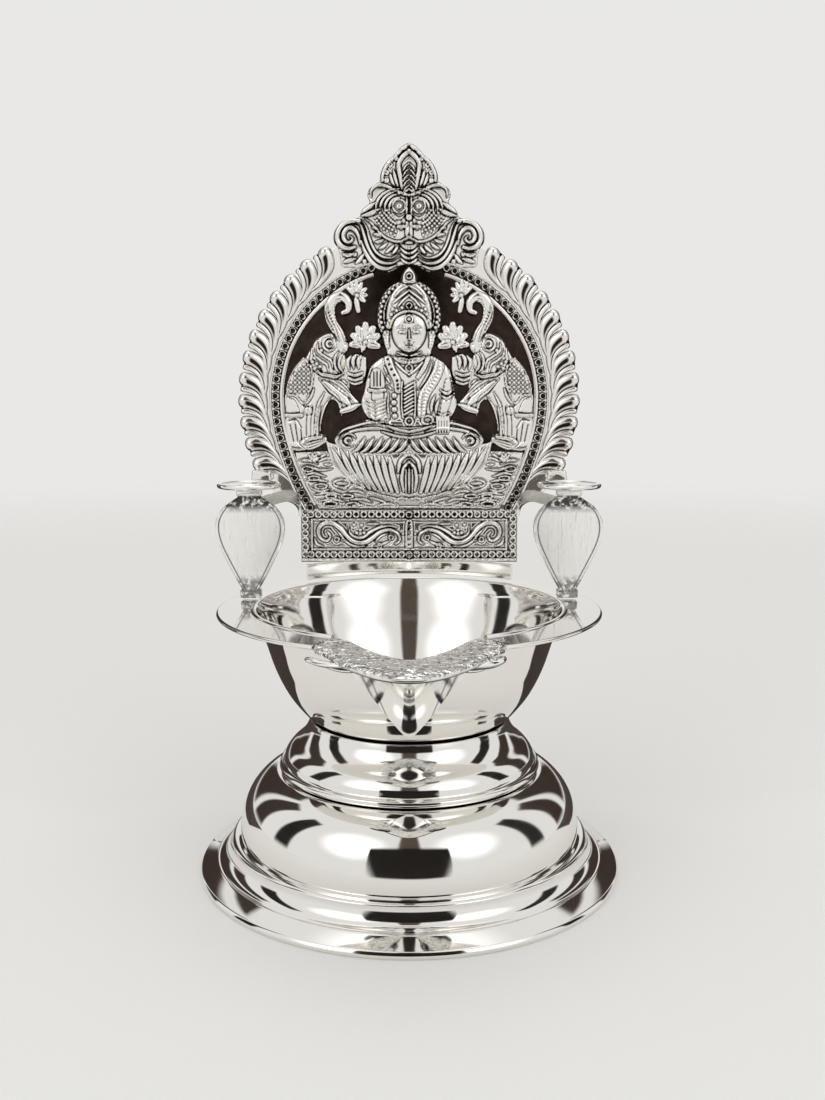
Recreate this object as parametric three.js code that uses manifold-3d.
// A silvered puja lamp: spun base, waisted collar, oil bowl with a wick spout, two flat
// urn pillars, and an upright plate with applied relief around a seated figure.
// Millimetres, +Z up. The lamp faces -Y. Every piece is modelled about the base's own
// axis, and the finished group is set back so that the origin is the centre of the
// footprint box of the whole lamp, on the table.

import * as THREE from 'three';
import { mergeVertices } from 'three/addons/utils/BufferGeometryUtils.js';
import Module from 'manifold-3d';

const wasm = await Module();
wasm.setup();

// Driving dimensions: sheet metal and joints
const sheet = 0.9;
const seam = 0.3;

// Base shell
const footRadius = 42;
const footEdge = 1.3;
const footRing = 3.6;
const footRingRise = 1.5;
const coveWidth = 2.9;
const coveRise = 3.6;
const stepWidth = 2.2;
const domeRadius = 33.8;
const domeCentreRadius = 23.2;
const domeArch = 12.2;
const deckRadius = 26.2;

// Waisted collar
const ringBead = 0.7;
const ringRise = 1.7;
const waistRadius = 19.6;
const collarRise = 10;

// Oil bowl
const bowlFootRadius = 19.4;
const bowlBevel = 1.5;
const bowlDepth = 21.8;
const mouthRadius = 30.5;
const flangeRadius = 37.6;
const flangeSheet = 0.8;
const lipBead = 0.45;

// Wick spout
const spoutReach = 50.5;
const spoutMouthReach = 40.5;
const spoutHalfWidth = 11.4;
const keelHalfWidth = 3.1;
const keelRound = 0.48;
const wallOverlap = 2.2;
const spoutDroop = 0.95;
const droopCurve = 0.8;
const spoutSectorDeg = 26;
const rimBite = 0.55;
const rimOverlap = 1.26;
const earLength = 7.2;
const earInset = 1.2;
const earSetBack = 1.9;
const earRadius = 0.85;

// Clamp hardware under the bowl
const studRadius = 2;
const studLength = 19;
const boreClearance = 0.3;
const washerRadius = 9;
const washerThickness = 1.2;
const nutAcrossFlats = 7;
const nutHeight = 3.2;

// Urn pillars and the discs on them
const pillarSheet = 2;
const pillarSpacing = 32.1;
const pillarY = 7.4;
const pillarHeight = 22.1;
const urnHalfWidth = 7.05;
const urnHeight = 13.8;
const neckHalfWidth = 2.2;
const ankleHalfWidth = 1.7;
const discRadius = 6.4;
const discSheet = 0.9;

// Shoulder arms
const armSheet = 1;
const armHeight = 4;
const armRise = 4.1;

// Upright plate
const plateY = 30;
const plateSheet = 0.8;
const stripBend = 35;
const stripHalfWidth = 22.4;
const stripRise = 3.4;
const panelHalfWidth = 24;
const panelRise = 12.2;
const archCentre = 39.6;
const archRadius = 36;

// Applied relief
const borderWidth = 2.2;
const borderRelief = 1.2;
const borderClearance = 0.4;
const beadRing = 29.15;
const ropeInner = 30.7;
const ropeOuter = 37;
const ropeBandWidth = 3.7;
const ropeBandRelief = 0.9;
const ropeLobes = 14;
const ropeRelief = 2.2;
const crestRise = 27.2;
const crestRelief = 2.4;
const crestBack = 0.9;
const panelRelief = 1.1;
const panelGround = 0.5;
const panelBorder = 1.9;
const panelLip = 1.7;
const panelLipRise = 0.7;
const scrollRadius = 0.65;
const figureRelief = 2.6;
const lotusRelief = 2.2;
const elephantRelief = 1.9;
const groundRelief = 0.8;
const rippleRadius = 0.5;

// How far a relief form runs behind the plate's face before it is trimmed flat there
const trimDepth = 1;

// The relief is drawn about the arch's centre, in units of 1/36 of the arch's radius
const drawUnit = archRadius / 36;

// Facets round a turned piece, and along the bowl's wall
const turnSteps = 36;
const wallSteps = 6;

// Heights and places that follow from the sizes above
const footTop = footEdge + footRingRise;
const coveTop = footTop + coveRise;
const domeBase = coveTop + 0.3;
const domeMid = domeBase + 1.6;
const deckAngle = Math.acos((deckRadius - domeCentreRadius) / (domeRadius - domeCentreRadius));
const deckTop = domeMid + domeArch * Math.sin(deckAngle);
const collarBase = deckTop + seam;
const collarTop = collarBase + collarRise;
const bowlBase = collarTop + seam;
const flangeTop = bowlBase + bowlDepth;
const flangeUnder = flangeTop - flangeSheet;
const pillarBase = flangeTop + seam;
const pillarTop = pillarBase + pillarHeight;
const plateBase = flangeTop + seam;
const stripTop = plateBase + stripRise;
const panelTop = stripTop + panelRise;
const archZ = flangeTop + archCentre;
const reliefY = plateY - seam;
const setBack = (spoutReach - footRadius) / 2;

const silver = { color: 0xe9e6de, metalness: 1, roughness: 0.12 };
const satin = { color: 0xd9d6cf, metalness: 1, roughness: 0.28 };
const darkMirror = { color: 0x2a211c, metalness: 1, roughness: 0.08 };
const steel = { color: 0xa9a9a6, metalness: 1, roughness: 0.4 };
const brassStud = { color: 0xb9975b, metalness: 1, roughness: 0.35 };

const lamp = new THREE.Group();
lamp.position.y = setBack;

// A closed mesh with shared corners, no empty faces, and its faces pointing out
function closedMesh(geometry) {
  const bare = geometry.index ? geometry.toNonIndexed() : geometry.clone();
  for (const name of Object.keys(bare.attributes)) {
    if (name !== 'position') bare.deleteAttribute(name);
  }
  const merged = mergeVertices(bare, 1e-4);
  const place = merged.attributes.position;
  const corner = (i) => new THREE.Vector3().fromBufferAttribute(place, i);
  const faces = [];
  let volume = 0;
  for (let i = 0; i < merged.index.count; i += 3) {
    const [a, b, c] = [0, 1, 2].map((k) => merged.index.getX(i + k));
    if (a === b || b === c || c === a) continue;
    faces.push([a, b, c]);
    volume += corner(a).dot(corner(b).cross(corner(c)));
  }
  merged.setIndex((volume < 0 ? faces.map(([a, b, c]) => [a, c, b]) : faces).flat());
  return merged;
}

function solidOf(geometry) {
  const mesh = closedMesh(geometry);
  return new wasm.Manifold(new wasm.Mesh({
    numProp: 3,
    vertProperties: new Float32Array(mesh.attributes.position.array),
    triVerts: new Uint32Array(mesh.index.array),
  }));
}

function geometryOf(solid) {
  const mesh = solid.getMesh();
  const geometry = new THREE.BufferGeometry();
  const xyz = [];
  for (let i = 0; i < mesh.vertProperties.length; i += mesh.numProp) {
    xyz.push(mesh.vertProperties[i], mesh.vertProperties[i + 1], mesh.vertProperties[i + 2]);
  }
  geometry.setAttribute('position', new THREE.Float32BufferAttribute(xyz, 3));
  geometry.setIndex(Array.from(mesh.triVerts));
  return geometry;
}

function join(geometries) {
  return geometries.map(solidOf).reduce((whole, part) => whole.add(part));
}

// The largest body of a solid, so that no sliver is left beside a cut
function largest(solid) {
  return solid.decompose().sort((a, b) => b.volume() - a.volume())[0];
}

function addPiece(name, shape, look) {
  const geometry = shape.isBufferGeometry ? closedMesh(shape) : geometryOf(shape);
  const mesh = new THREE.Mesh(geometry, new THREE.MeshStandardMaterial(look));
  mesh.name = name;
  lamp.add(mesh);
  return mesh;
}

// A profile of [radius, height] points turned about the lamp's axis
function turned(profile, steps = turnSteps) {
  const points = profile.map(([r, z]) => new THREE.Vector2(r, z));
  points.push(points[0].clone());
  return new THREE.LatheGeometry(points, steps).rotateX(Math.PI / 2);
}

function arcPoints(centreR, centreZ, reachR, reachZ, fromDeg, toDeg, count) {
  return Array.from({ length: count }, (unused, i) => {
    const angle = THREE.MathUtils.degToRad(fromDeg + (toDeg - fromDeg) * i / (count - 1));
    return [centreR + reachR * Math.cos(angle), centreZ + reachZ * Math.sin(angle)];
  });
}

function outlineShape(points) {
  return new THREE.Shape(points.map(([x, z]) => new THREE.Vector2(x, z)));
}

// An outline in the X-Z plane given thickness, its front face at frontY
function upright(points, frontY, thickness) {
  const slab = new THREE.ExtrudeGeometry(outlineShape(points), {
    depth: thickness, bevelEnabled: false, curveSegments: 8,
  });
  return slab.rotateX(Math.PI / 2).translate(0, frontY + thickness, 0);
}

// An outline in the X-Y plane given height, its lower face at baseZ
function flat(points, baseZ, height) {
  return new THREE.ExtrudeGeometry(outlineShape(points), {
    depth: height, bevelEnabled: false, curveSegments: 8,
  }).translate(0, 0, baseZ);
}

function mirrored(points) {
  return points.map(([x, z]) => [-x, z]);
}

function smoothPath(points, count) {
  const curve = new THREE.SplineCurve(points.map(([x, z]) => new THREE.Vector2(x, z)));
  return curve.getPoints(count).map((p) => [p.x, p.y]);
}

// Base: an open spun shell, its foot ring flat on the table
function baseShell() {
  const domeReach = domeRadius - domeCentreRadius;
  const deckDeg = THREE.MathUtils.radToDeg(deckAngle);
  const coveIn = footRadius - footRing - coveWidth;
  const stepIn = coveIn - stepWidth;
  const outer = [
    [footRadius - 0.15, 0],
    [footRadius, 0.5],
    [footRadius - 0.2, footEdge],
    [footRadius - footRing, footTop],
    ...arcPoints(footRadius - footRing, coveTop, coveWidth, coveRise, 250, 182, 3),
    [coveIn - 0.2, coveTop],
    [stepIn, coveTop + 0.25],
    ...arcPoints(domeCentreRadius, domeMid, domeReach, domeArch, -10, deckDeg, 7),
  ];
  const inner = [
    [studRadius + boreClearance, deckTop],
    [studRadius + boreClearance, deckTop - sheet],
    [deckRadius - sheet, deckTop - sheet],
    ...arcPoints(domeCentreRadius, domeMid, domeReach - sheet, domeArch - sheet,
      deckDeg - 8, -8, 5),
    [stepIn - sheet, coveTop - 0.5],
    [coveIn - sheet, coveTop - sheet],
    [footRadius - footRing - 1.2, footTop - sheet],
    [footRadius - footRing, 0],
  ];
  return turned([...outer, ...inner]);
}

// Collar: a waisted sleeve between the base and the bowl
function neckCollar() {
  const bore = studRadius + boreClearance;
  const rise = collarRise - ringRise;
  const waist = (offset, list) => list.map(([share, height]) => [
    waistRadius + (deckRadius - 1.4 - waistRadius) * share - offset,
    collarBase + ringRise + rise * height,
  ]);
  const curve = [[1, 0], [0.72, 0.14], [0.42, 0.34], [0.2, 0.58], [0.08, 0.82], [0.04, 0.97]];
  const outer = [
    [deckRadius - 0.6, collarBase],
    [deckRadius - 0.6 + ringBead / 2, collarBase + ringRise / 2],
    [deckRadius - 0.6, collarBase + ringRise * 0.9],
    ...waist(0, curve),
    [waistRadius - 0.2, collarTop],
  ];
  const inner = waist(sheet, [...curve].reverse().filter(([share, height]) => height < 0.9));
  return turned([
    ...outer,
    [bore, collarTop],
    [bore, collarTop - sheet],
    ...inner,
    [deckRadius - 0.6 - sheet, collarBase],
  ]);
}

// Half outline of the bowl's wall, outside, from its foot to the flange
function bowlWall(offset, count) {
  const foot = bowlBase + bowlBevel;
  const curve = new THREE.CubicBezierCurve(
    new THREE.Vector2(bowlFootRadius + 1.6, foot),
    new THREE.Vector2(bowlFootRadius + 5.6, foot + bowlDepth * 0.16),
    new THREE.Vector2(mouthRadius - 2.7, foot + bowlDepth * 0.55),
    new THREE.Vector2(mouthRadius - 0.2, flangeUnder),
  );
  return curve.getPoints(count).map((p) => [p.x - offset, p.y]);
}

function bowlShell() {
  const outside = bowlWall(0, wallSteps);
  const inside = bowlWall(sheet, wallSteps).reverse().slice(1);
  return turned([
    [0, bowlBase],
    [bowlFootRadius, bowlBase],
    ...outside,
    [flangeRadius - 0.2, flangeUnder],
    [flangeRadius, flangeUnder + flangeSheet / 2],
    [flangeRadius - 0.2, flangeTop],
    [mouthRadius + lipBead, flangeTop],
    [mouthRadius + 0.1, flangeTop + lipBead],
    [mouthRadius - sheet / 2, flangeTop],
    ...inside,
    [bowlFootRadius - sheet, bowlBase + sheet],
    [0, bowlBase + sheet],
  ]);
}

// A solid of the bowl's outer form, used to trim what meets its wall
function bowlPlug(grow) {
  return turned([
    [0, bowlBase],
    [bowlFootRadius + grow, bowlBase],
    ...bowlWall(-grow, wallSteps),
    [mouthRadius + grow, flangeTop],
    [0, flangeTop],
  ]);
}

// The spout's channel in plan at a share of its rise: a V with a rounded keel, which widens
// and reaches forward. share runs from -1 to 1 across it, and outset moves it outwards for
// the sheet.
function channelPoint(rise, share, outset) {
  const half = keelHalfWidth + (spoutHalfWidth - keelHalfWidth) * rise + outset * 0.7;
  const start = bowlFootRadius + bowlBevel;
  const nose = start + (spoutMouthReach - start) * rise + outset;
  const wall = start + (mouthRadius - start) * rise ** 0.6 - wallOverlap;
  const back = (Math.hypot(share, keelRound) - keelRound) / (Math.hypot(1, keelRound) - keelRound);
  return [half * share, -nose + (nose - wall) * back];
}

// How far the spout's rim droops below the flange at a depth y
function rimDroop(y) {
  const out = Math.max(0, (-y - mouthRadius) / (spoutReach - mouthRadius));
  return spoutDroop * out ** droopCurve;
}

// The channel's form as a solid, up to a top whose height may follow y
function spoutTrough(outset, topAt) {
  const foot = bowlBase + bowlBevel + sheet - outset;
  const [rows, across] = [6, 5];
  const rimAt = (y) => Math.min(topAt(y), flangeTop);
  const section = (level, heightAt) => {
    const row = [];
    for (let k = -across; k <= across; k += 1) {
      const z = heightAt(channelPoint(level, k / across, outset)[1]);
      const rise = Math.min((z - foot) / (flangeTop - foot), 1);
      row.push([...channelPoint(rise, k / across, outset), z]);
    }
    const [half, , z] = row[row.length - 1];
    return [...row, [half, -bowlFootRadius * 0.6, z], [-half, -bowlFootRadius * 0.6, z]];
  };
  const sections = Array.from({ length: rows + 1 }, (unused, i) => section(i / rows,
    (y) => foot + (rimAt(y) - foot) * i / rows));
  if (topAt(0) > flangeTop) sections.push(section(1, topAt));
  return loft(sections);
}

// Skins a stack of closed sections with the same number of points, and caps both ends
function loft(sections) {
  const count = sections[0].length;
  const xyz = sections.flat(2);
  const faces = [];
  for (let i = 0; i + 1 < sections.length; i += 1) {
    for (let k = 0; k < count; k += 1) {
      const next = (k + 1) % count;
      const [a, b] = [i * count + k, i * count + next];
      faces.push(a, b, b + count, a, b + count, a + count);
    }
  }
  const capOf = (section) => THREE.ShapeUtils.triangulateShape(
    section.map((p) => new THREE.Vector2(p[0], p[1])), []);
  const last = (sections.length - 1) * count;
  for (const [a, b, c] of capOf(sections[0])) faces.push(a, c, b);
  for (const [a, b, c] of capOf(sections[sections.length - 1])) {
    faces.push(last + a, last + b, last + c);
  }
  const geometry = new THREE.BufferGeometry();
  geometry.setAttribute('position', new THREE.Float32BufferAttribute(xyz, 3));
  geometry.setIndex(faces);
  return geometry;
}

// A wedge about the axis in front of the bowl, in plan
function frontWedge(halfDeg, baseZ, height) {
  const half = THREE.MathUtils.degToRad(halfDeg);
  const reach = spoutReach + 20;
  return flat([
    [0, 0],
    [-reach * Math.sin(half), -reach * Math.cos(half)],
    [reach * Math.sin(half), -reach * Math.cos(half)],
  ], baseZ, height);
}

// The spout's rim: a leaf of sheet between the mouth's edge and the outer edge, drooping
function spoutRim() {
  const side = THREE.MathUtils.degToRad(spoutSectorDeg + 3);
  const edge = (radius) => [radius * Math.sin(side), -radius * Math.cos(side)];
  const innerHalf = [0, 0.2, 0.4, 0.6, 0.8, 1].map((share) => channelPoint(1, share, -rimOverlap));
  innerHalf.push(edge(mouthRadius - 0.2));
  const lipDepth = spoutReach - spoutMouthReach;
  // The leaf's front edge, as shares of the channel's half width and of the lip's depth
  const front = [[0, 0], [0.37, 0.13], [0.72, 0.5], [1.09, 1.2]];
  const outerHalf = front.map(([x, y]) => [x * spoutHalfWidth, y * lipDepth - spoutReach]);
  outerHalf.push(edge(flangeRadius));
  const both = (half) => [...mirrored(half.slice(1)).reverse(), ...half];
  const steps = 18;
  const inner = smoothPath(both(innerHalf), steps);
  const outer = smoothPath(both(outerHalf), steps);
  const rows = 2;
  const rings = inner.map(([ix, iy], i) => {
    const [ox, oy] = outer[i];
    const across = Array.from({ length: rows + 1 }, (unused, k) => {
      const share = k / rows;
      return [ix + (ox - ix) * share, iy + (oy - iy) * share];
    });
    const topSide = across.map(([x, y]) => [x, y, flangeTop - rimDroop(y)]);
    const underSide = across.map(([x, y]) => [x, y, flangeUnder - rimDroop(y)]).reverse();
    return [...topSide, ...underSide];
  });
  return bandSolid(rings);
}

// Skins rings of points that run across a band, closing both ends with fans
function bandSolid(rings) {
  const count = rings[0].length;
  const faces = [];
  for (let i = 0; i + 1 < rings.length; i += 1) {
    for (let k = 0; k < count; k += 1) {
      const next = (k + 1) % count;
      const [a, b] = [i * count + k, i * count + next];
      faces.push(a, b, b + count, a, b + count, a + count);
    }
  }
  const last = (rings.length - 1) * count;
  for (let k = 0; k < count / 2 - 1; k += 1) {
    const [a, b, c, d] = [k, k + 1, count - 2 - k, count - 1 - k];
    faces.push(a, c, b, a, d, c);
    faces.push(last + a, last + b, last + c, last + a, last + c, last + d);
  }
  const geometry = new THREE.BufferGeometry();
  geometry.setAttribute('position', new THREE.Float32BufferAttribute(rings.flat(2), 3));
  geometry.setIndex(faces);
  return geometry;
}

// A round bar along points in space, closed at both ends
function bar(points, radius, sides = 6, steps = 8) {
  const curve = new THREE.CatmullRomCurve3(points.map((p) => new THREE.Vector3(...p)));
  const section = arcPoints(0, 0, radius, radius, 0, 360 * (1 - 1 / sides), sides);
  return new THREE.ExtrudeGeometry(outlineShape(section), {
    steps, bevelEnabled: false, extrudePath: curve,
  });
}

function ear(side) {
  const [rootX, rootY] = [spoutHalfWidth - earInset, earSetBack - spoutMouthReach];
  const start = new THREE.Vector3(side * rootX, rootY, flangeUnder - earRadius);
  const end = new THREE.Vector3(side * (rootX + earLength * 0.86), rootY + earLength * 0.5,
    flangeUnder - earRadius - 0.4);
  const middle = start.clone().lerp(end, 0.5).add(new THREE.Vector3(0, -0.2, -0.5));
  const tip = new THREE.SphereGeometry(earRadius * 1.15, 8, 6).translate(...end);
  const stem = bar([start.toArray(), middle.toArray(), end.toArray()], earRadius, 6, 4);
  return [stem, tip];
}

function spoutAndBowl() {
  const channel = solidOf(spoutTrough(0, () => flangeTop + 3));
  const plug = solidOf(bowlPlug(seam));
  const cutHeight = lipBead + flangeSheet + seam + 1;
  const wedge = solidOf(frontWedge(spoutSectorDeg, flangeUnder - seam, cutHeight));
  const bowl = solidOf(bowlShell()).subtract(wedge).subtract(channel);
  const trough = solidOf(spoutTrough(sheet, (y) => flangeTop - rimBite - rimDroop(y)))
    .subtract(plug).subtract(channel);
  const seamDeg = THREE.MathUtils.radToDeg(seam / mouthRadius);
  const rim = solidOf(spoutRim())
    .intersect(solidOf(frontWedge(spoutSectorDeg - seamDeg, bowlBase, bowlDepth * 2)))
    .subtract(channel);
  const ears = join([...ear(-1), ...ear(1)]).subtract(plug);
  const spout = largest(largest(rim.add(trough)).add(ears));
  return { bowl: largest(bowl), spout };
}

// Clamp hardware: a stud under the bowl, through the collar and the base
function clampStud() {
  const top = bowlBase - seam;
  const stud = [[0, top - studLength], [studRadius - 0.4, top - studLength],
    [studRadius, top - studLength + 0.4], [studRadius, top], [0, top]];
  return turned(stud, 16);
}

function clampWasher() {
  const top = deckTop - sheet - seam;
  const bore = studRadius + boreClearance;
  return turned([[bore, top - washerThickness], [washerRadius, top - washerThickness],
    [washerRadius, top], [bore, top]], 24);
}

function clampNut() {
  const top = deckTop - sheet - seam - washerThickness - seam;
  const corner = nutAcrossFlats / Math.sqrt(3);
  const hexagon = arcPoints(0, 0, corner, corner, 0, 300, 6);
  const shape = outlineShape(hexagon);
  const bore = new THREE.Path();
  bore.absarc(0, 0, studRadius + boreClearance, 0, Math.PI * 2, true);
  shape.holes.push(bore);
  return new THREE.ExtrudeGeometry(shape, {
    depth: nutHeight, bevelEnabled: false, curveSegments: 16,
  }).translate(0, 0, top - nutHeight);
}

// Pillars: flat urns cut from sheet
function pillar(side) {
  const urnTop = pillarTop - 1.2;
  const half = smoothPath([
    [ankleHalfWidth, pillarBase],
    [ankleHalfWidth, pillarBase + 1.4],
    [ankleHalfWidth + 0.5, pillarBase + 2.7],
    [urnHalfWidth - 2.1, pillarBase + urnHeight * 0.55],
    [urnHalfWidth, pillarBase + urnHeight],
    [urnHalfWidth - 1.6, urnTop - 2.9],
    [neckHalfWidth + 0.1, urnTop],
    [neckHalfWidth, pillarTop],
  ], 20);
  const outline = [...half, ...mirrored(half).reverse()];
  return upright(outline, pillarY - pillarSheet / 2, pillarSheet)
    .translate(side * pillarSpacing, 0, 0);
}

function pillarDisc(side) {
  return new THREE.CylinderGeometry(discRadius, discRadius, discSheet, 28)
    .rotateX(Math.PI / 2)
    .translate(side * pillarSpacing, pillarY, pillarTop + seam + discSheet / 2);
}

// Shoulder arm: a bent strip from the plate's shoulder to the neck of the pillar
function shoulderArm(side) {
  const innerX = panelHalfWidth + 2.2;
  const outerX = pillarSpacing;
  const backY = plateY - seam - armSheet / 2;
  const frontY = pillarY + pillarSheet / 2 + seam;
  const plan = new THREE.CubicBezierCurve(
    new THREE.Vector2(innerX, backY),
    new THREE.Vector2(innerX + 4.6, backY - 2),
    new THREE.Vector2(outerX, frontY + 12),
    new THREE.Vector2(outerX, frontY),
  ).getPoints(10);
  const top = panelTop + armRise;
  const rings = plan.map((p, i) => {
    const share = i / (plan.length - 1);
    const ahead = plan[Math.min(i + 1, plan.length - 1)].clone()
      .sub(plan[Math.max(i - 1, 0)]).normalize();
    const [nx, ny] = [-ahead.y * armSheet / 2, ahead.x * armSheet / 2];
    const bottom = top - armHeight + 1.6 * Math.sin(Math.PI * share);
    return [
      [side * (p.x + nx), p.y + ny, top],
      [side * (p.x - nx), p.y - ny, top],
      [side * (p.x - nx), p.y - ny, bottom],
      [side * (p.x + nx), p.y + ny, bottom],
    ];
  });
  return bandSolid(rings);
}

// Foot strip: a curved band that stands on the flange and carries the plate
function footStrip() {
  const half = THREE.MathUtils.radToDeg(Math.asin(stripHalfWidth / stripBend));
  const front = arcPoints(0, 0, stripBend, stripBend, 90 - half, 90 + half, 14);
  const back = arcPoints(0, 0, stripBend + plateSheet, stripBend + plateSheet,
    90 + half, 90 - half, 14);
  return flat([...front, ...back], plateBase, stripRise);
}

// Plate: panel and arch in one outline
function plateOutline() {
  const foot = stripTop + seam;
  const shoulder = [
    [panelHalfWidth, panelTop - 0.3],
    [panelHalfWidth + 2.5, panelTop + 1.6],
    [panelHalfWidth + 4, panelTop + 3.4],
  ];
  const joinDeg = -29;
  const arch = arcPoints(0, archZ, archRadius, archRadius, joinDeg, 90, 22);
  const right = [[panelHalfWidth - 0.3, foot], ...shoulder, ...arch];
  return [...right, ...mirrored(right.slice(0, -1)).reverse()];
}

function backingPlate() {
  return upright(plateOutline(), plateY, plateSheet);
}

// Places from draw units about the arch's centre to millimetres
function drawn(points) {
  return points.map(([x, z]) => [x * drawUnit, archZ + z * drawUnit]);
}

// Relief parts are placed in draw units, and each is a low form that stands forward from
// the plate's face. grow gives the room that a neighbour keeps clear.
function dome(x, z, halfX, halfZ, height, { turnDeg = 0, sides = 8, rows = 6, grow = 0 } = {}) {
  const [[centreX, centreZ]] = drawn([[x, z]]);
  return new THREE.SphereGeometry(1, sides, rows)
    .rotateX(Math.PI / 2)
    .scale(halfX * drawUnit + grow, height + grow, halfZ * drawUnit + grow)
    .rotateY(THREE.MathUtils.degToRad(turnDeg))
    .translate(centreX, reliefY, centreZ);
}

function ridge(points, radius, lift, steps = 8) {
  const path = drawn(points).map(([x, z]) => [x, reliefY - lift * drawUnit, z]);
  return bar(path, radius, 6, steps);
}

// Cuts relief parts flat at the plate's face and returns one solid
function relief(parts) {
  const size = 300;
  const front = new THREE.BoxGeometry(size, size, size).translate(0, reliefY - size / 2, 0);
  return join(parts).intersect(solidOf(front));
}

// A band of even width along a path in the X-Z plane
function bandOutline(path, width) {
  const left = [];
  const right = [];
  path.forEach(([x, z], i) => {
    const [ax, az] = path[Math.max(i - 1, 0)];
    const [bx, bz] = path[Math.min(i + 1, path.length - 1)];
    const run = Math.hypot(bx - ax, bz - az);
    const [nx, nz] = [-(bz - az) / run * width / 2, (bx - ax) / run * width / 2];
    left.push([x + nx, z + nz]);
    right.unshift([x - nx, z - nz]);
  });
  return [...left, ...right];
}

function beadBorder(side) {
  const foot = panelTop + seam + borderClearance;
  const lower = smoothPath([
    [19.4, 0], [22.4, 3.3], [24.7, 6.6], [26.3, 9.7], [27.6, 12.9], [28.3, 16.3],
  ].map(([x, rise]) => [x * drawUnit, foot + rise * drawUnit]), 8);
  const arch = arcPoints(0, archZ, beadRing, beadRing, -10, 73, 15);
  const path = [...lower, ...arch].map(([x, z]) => [side * x, z]);
  return upright(bandOutline(path, borderWidth), reliefY - borderRelief, borderRelief);
}

// Gadrooned border: a row of swept lobes on a band
function ropeBorder(side) {
  const [fromDeg, toDeg, leanDeg] = [-26, 61, 32];
  const middle = ropeInner + ropeBandWidth / 2;
  const band = arcPoints(0, archZ, middle, middle, fromDeg - 3, toDeg + 2, 20)
    .map(([x, z]) => [side * x, z]);
  const strip = upright(bandOutline(band, ropeBandWidth), reliefY - ropeBandRelief,
    ropeBandRelief + trimDepth);
  const centre = (ropeInner + ropeOuter) / 2 + 0.5;
  const halfLength = (ropeOuter - ropeInner) / 2 + 0.1;
  const lobes = [];
  for (let i = 0; i < ropeLobes; i += 1) {
    const deg = fromDeg + (toDeg - fromDeg) * i / (ropeLobes - 1);
    const [[x, z]] = arcPoints(0, 0, centre, centre, deg, deg + 1, 2);
    lobes.push(dome(side * x / drawUnit, z / drawUnit, halfLength / drawUnit, 2.25,
      ropeRelief, { turnDeg: -side * (deg + leanDeg), rows: 4 }));
  }
  return relief([strip, ...lobes]);
}

function crest() {
  const base = beadRing / drawUnit - 2.2;
  const up = (share) => base + crestRise / drawUnit * share;
  const tip = up(1);
  const both = (make) => [make(-1), make(1)];
  const right = [
    [2, tip - 1.7], [4, tip - 3.6], [6, tip - 7.6], [8.8, up(0.58)], [10.3, up(0.44)],
    [9, up(0.28)], [8, up(0.08)], [5, up(0.01)], [1.7, up(0.06)],
  ];
  const mask = upright(drawn([[0, tip], ...right, [0, up(0.05)], ...mirrored(right).reverse()]),
    reliefY - crestBack, crestBack + trimDepth);
  const d = (x, share, halfX, halfZ, deep, turnDeg = 0, sides = 8) => dome(x, up(share),
    halfX, halfZ, crestRelief * deep, { turnDeg, sides });
  return relief([
    mask,
    d(0, 0.8, 2.2, 4.8, 1),
    ...both((s) => d(s * 4.1, 0.74, 1.7, 3.6, 0.85, s * 24)),
    ...both((s) => d(s * 2.1, 0.52, 1.5, 1.5, 1)),
    ...both((s) => d(s * 5.4, 0.53, 3.2, 1.8, 0.8, s * -18)),
    d(0, 0.45, 0.9, 2.2, 1),
    ...both((s) => d(s * 4.2, 0.37, 3.6, 2.1, 0.8, s * 26)),
    ...both((s) => d(s * 5, 0.15, 3.4, 3.2, 0.8, s * -14)),
    d(0, 0.24, 1.6, 2.6, 0.85),
    ...both((s) => d(s * 13, 0.28, 3.2, 3, 0.8, 0, 10)),
    ...both((s) => ridge([[s * 8, up(0.12)], [s * 9.4, up(0.27)], [s * 10.4, up(0.4)],
      [s * 13, up(0.37)]], 1.1 * drawUnit, 0.2)),
  ]);
}

// Scroll panel: a slab with a raised edge and two running scrolls
function scrollPanel() {
  const [low, high] = [stripTop + seam, panelTop - seam];
  const half = panelHalfWidth - 0.2;
  const block = (x0, z0, x1, z1, depth) => upright([[x0, z0], [x1, z0], [x1, z1], [x0, z1]],
    reliefY - depth, depth + trimDepth);
  const middle = (low + high) / 2 + 0.5 * drawUnit;
  const scroll = (s) => bar([[17.6, -0.9], [16.9, 0.6], [18.4, 1.6], [19.9, 0], [18.6, -1.9],
    [14.4, -1], [10, -2.2], [6, 0], [3, -0.6], [4.2, -2],
  ].map(([x, z]) => [s * x * drawUnit, reliefY - 0.4 * drawUnit, middle + z * drawUnit]),
  scrollRadius, 6, 26);
  return relief([
    block(-half, low, half, high, panelGround),
    block(-half, low, half, low + panelLipRise, panelLip),
    block(-half, low, half, low + panelBorder * 1.6, panelRelief),
    block(-half, high - panelBorder, half, high, panelRelief),
    block(-half, low, -half + panelBorder, high, panelRelief),
    block(half - panelBorder, low, half, high, panelRelief),
    block(-panelBorder * 0.42, low, panelBorder * 0.42, high, panelRelief),
    scroll(-1),
    scroll(1),
  ]);
}

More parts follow.
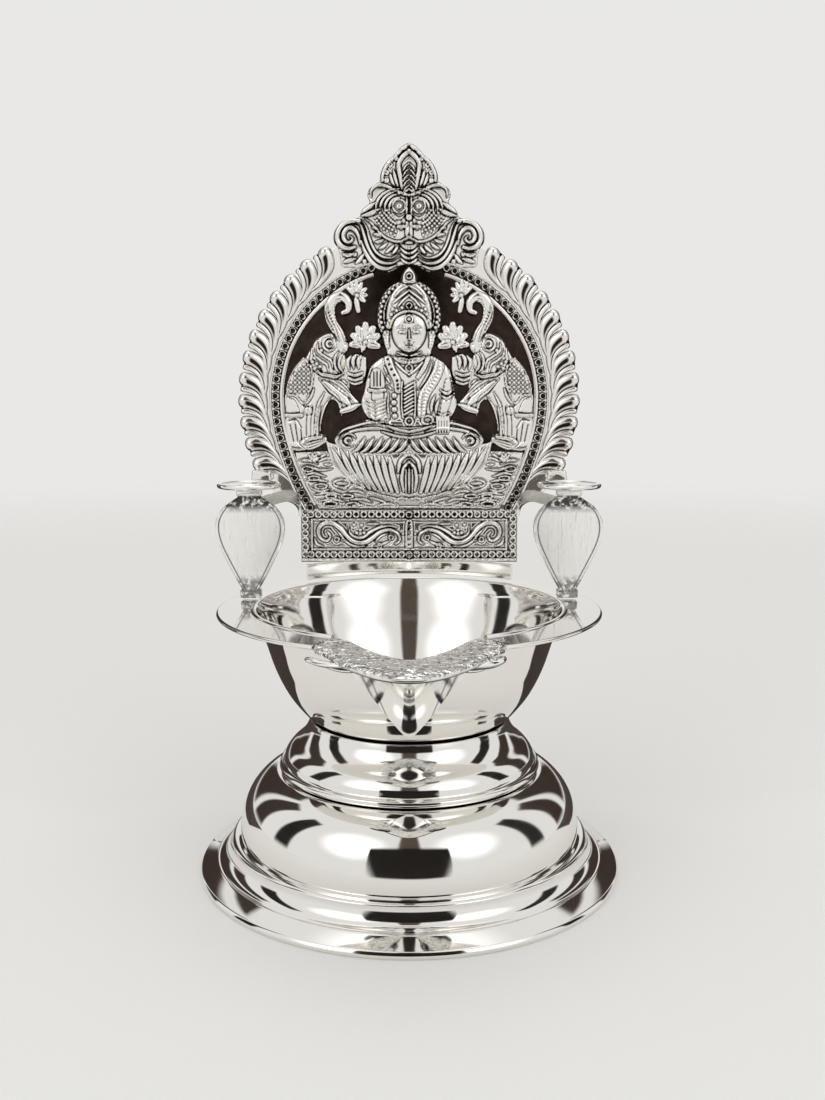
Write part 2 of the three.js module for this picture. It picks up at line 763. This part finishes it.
// Seated figure with a halo, four arms and crossed legs
function figure(grow) {
  const seat = -8.4;
  const d = (x, rise, halfX, halfZ, deep, turnDeg = 0) => dome(x, seat + rise, halfX, halfZ,
    figureRelief * deep, { turnDeg, grow, rows: 4 });
  const both = (make) => [make(-1), make(1)];
  return [
    d(0, 27.4, 6.6, 7.4, 0.45),
    d(0, 29.6, 3.3, 5.2, 0.85),
    d(0, 33.6, 1.1, 1.9, 0.6),
    d(0, 21.9, 3.1, 3.9, 1),
    d(0, 13.6, 4.6, 6.6, 0.9),
    ...both((s) => d(s * 5.4, 15.6, 2.6, 3, 0.8, s * 28)),
    ...both((s) => d(s * 8, 12.8, 2.4, 4.6, 0.65, s * -30)),
    ...both((s) => d(s * 10.1, 17.2, 1.5, 4, 0.6, s * 12)),
    ...both((s) => d(s * 9.4, 21.8, 2.5, 2.9, 0.75)),
    ...both((s) => d(s * 6.6, 10, 1.7, 4.6, 0.85)),
    ...both((s) => d(s * 8, 3.4, 8.2, 2.8, 0.8, s * 11)),
    d(0, 3, 6, 3.4, 0.95),
    d(0, 7.4, 3, 5.6, 0.9),
  ];
}

function lotusSeat(grow) {
  const seat = -9.6;
  const side = 4;
  const petals = [dome(0, seat - 4.2, 14, 5.6, lotusRelief * 0.6, { sides: 14, grow })];
  for (let i = -side; i <= side; i += 1) {
    const share = i / side;
    petals.push(dome(share * 14.2, seat - 4.8 + 1.9 * share * share, 3,
      5.9 - 1.2 * Math.abs(share), lotusRelief * (1 - 0.25 * Math.abs(share)),
      { turnDeg: share * 38, rows: 4, grow }));
  }
  return petals;
}

function elephant(side, grow) {
  const ground = -11;
  const d = (x, rise, halfX, halfZ, deep, turnDeg = 0) => dome(side * x, ground + rise,
    halfX, halfZ, elephantRelief * deep, { turnDeg: side * turnDeg, grow, rows: 4 });
  const trunk = [[16, 23], [15.2, 26.4], [16.1, 30], [15.4, 32.6], [13.2, 32.8], [12.6, 31.2]];
  return [
    d(22, 15.2, 4, 5.6, 0.95, 26),
    d(18.6, 19.4, 3.6, 4.4, 0.85, 30),
    d(16.8, 21.6, 2.7, 3.3, 1),
    d(18.9, 18.6, 1.4, 3, 1, 10),
    d(22.6, 8.8, 2.3, 5.2, 0.8, 6),
    d(19.4, 10.6, 1.8, 5, 0.7, -8),
    d(14.6, 11.6, 1.6, 3.4, 0.6, -52),
    d(24.6, 6, 1.9, 2.1, 0.7),
    ridge(trunk.map(([x, rise]) => [side * x, ground + rise]), drawUnit + grow, 0.3),
    d(11.2, 34.6, 1.8, 2, 0.6),
    d(12.6, 32.4, 1.2, 1.4, 0.6),
  ];
}

// Ground below the figures: a low field of ripples with two open blooms
function groundPlane() {
  const low = panelTop + seam + borderClearance;
  const high = archZ - 10.5 * drawUnit;
  const rightEdge = smoothPath([[17.7, 0], [20.9, 3.6], [23.2, 7], [24.7, 10]]
    .map(([x, rise]) => [x * drawUnit, low + rise * drawUnit])
    .concat([[25.9 * drawUnit, high]]), 6);
  const half = groundRelief / 2;
  const field = upright([...rightEdge, ...mirrored(rightEdge).reverse()],
    reliefY - half, half + trimDepth);
  const both = (make) => [make(-1), make(1)];
  const [foot, rise] = [(low - archZ) / drawUnit, (high - low) / drawUnit];
  const ripples = [0.16, 0.36, 0.56].flatMap((share) => both((s) => {
    const z = foot + rise * share;
    return ridge([[s * 5, z - 0.8], [s * 10, z], [s * 14, z - 0.6], [s * (17 + 6 * share), z]],
      rippleRadius, groundRelief * 0.3, 6);
  }));
  const blooms = both((s) => dome(s * 20.6, foot + rise - 3, 2.4, 2.2, groundRelief * 1.4,
    { sides: 10 }));
  return relief([field, ...ripples, ...blooms]);
}

addPiece('base_shell', baseShell(), silver);
addPiece('neck_collar', neckCollar(), silver);
const { bowl, spout } = spoutAndBowl();
addPiece('bowl', bowl, silver);
addPiece('spout', spout, silver);
addPiece('clamp_stud', clampStud(), brassStud);
addPiece('clamp_washer', clampWasher(), steel);
addPiece('clamp_nut', clampNut(), steel);

for (const [side, word] of [[-1, 'left'], [1, 'right']]) {
  addPiece(`pillar_${word}`, pillar(side), satin);
  addPiece(`pillar_disc_${word}`, pillarDisc(side), silver);
  addPiece(`shoulder_arm_${word}`, shoulderArm(side), silver);
}

addPiece('foot_strip', footStrip(), silver);
addPiece('backing_plate', backingPlate(), darkMirror);
addPiece('scroll_panel', scrollPanel(), silver);

const figureSolid = relief(figure(0));
const figureRoom = relief(figure(seam));
const lotusRoom = relief(lotusSeat(seam));
addPiece('seated_figure', figureSolid, silver);
addPiece('lotus_seat', largest(relief(lotusSeat(0)).subtract(figureRoom)), silver);
const crestSolid = crest();
addPiece('crest', crestSolid, silver);
const crestMiddle = archZ + beadRing + crestRise * 0.3;
const crestRoom = solidOf(geometryOf(crestSolid)
  .translate(0, -reliefY, -crestMiddle)
  .scale(1.03, 1.2, 1.03)
  .translate(0, reliefY, crestMiddle));

for (const [side, word] of [[-1, 'left'], [1, 'right']]) {
  const elephantSolid = relief(elephant(side, 0)).subtract(figureRoom).subtract(lotusRoom);
  addPiece(`elephant_${word}`, largest(elephantSolid), silver);
  addPiece(`bead_border_${word}`,
    largest(solidOf(beadBorder(side)).subtract(crestRoom)), silver);
  addPiece(`rope_border_${word}`, largest(ropeBorder(side).subtract(crestRoom)), silver);
}

const elephantRoom = relief([...elephant(-1, seam), ...elephant(1, seam)]);
addPiece('ground_relief',
  largest(groundPlane().subtract(lotusRoom).subtract(figureRoom).subtract(elephantRoom)),
  silver);

export default lamp;
